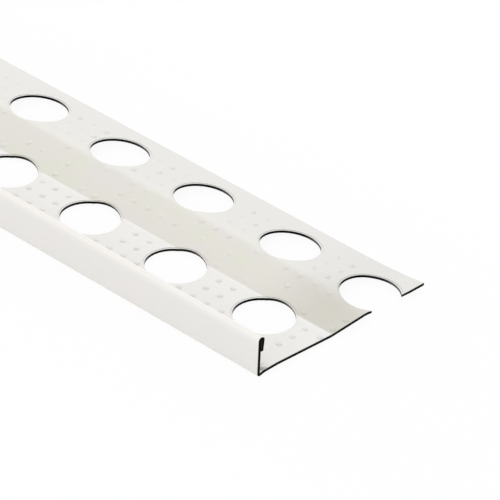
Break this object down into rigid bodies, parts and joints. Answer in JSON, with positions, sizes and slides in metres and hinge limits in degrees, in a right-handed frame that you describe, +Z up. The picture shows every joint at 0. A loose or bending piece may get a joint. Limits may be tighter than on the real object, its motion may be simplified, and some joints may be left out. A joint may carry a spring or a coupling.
{
  "type": "plaster stop bead",
  "caption": "Roll-formed plaster stop bead: an upright leg with a folded hem, and a wide flange with two staggered rows of round holes and a low bent band.",
  "frame": {"origin": "middle of the bead's box on the floor that it lies on", "axes": "+X along the bead towards the end cut out of square, +Y from the leg towards the flange's free edge, +Z up"},
  "size_m": [2.4, 0.0506, 0.0099],
  "materials": {
    "coated_steel": "off-white matt coating, with small embossed dots on the flange and dark bare cut edges"
  },
  "bodies": {
    "root": {"stop_bead": "coated_steel"}
  },
  "joints": []
}
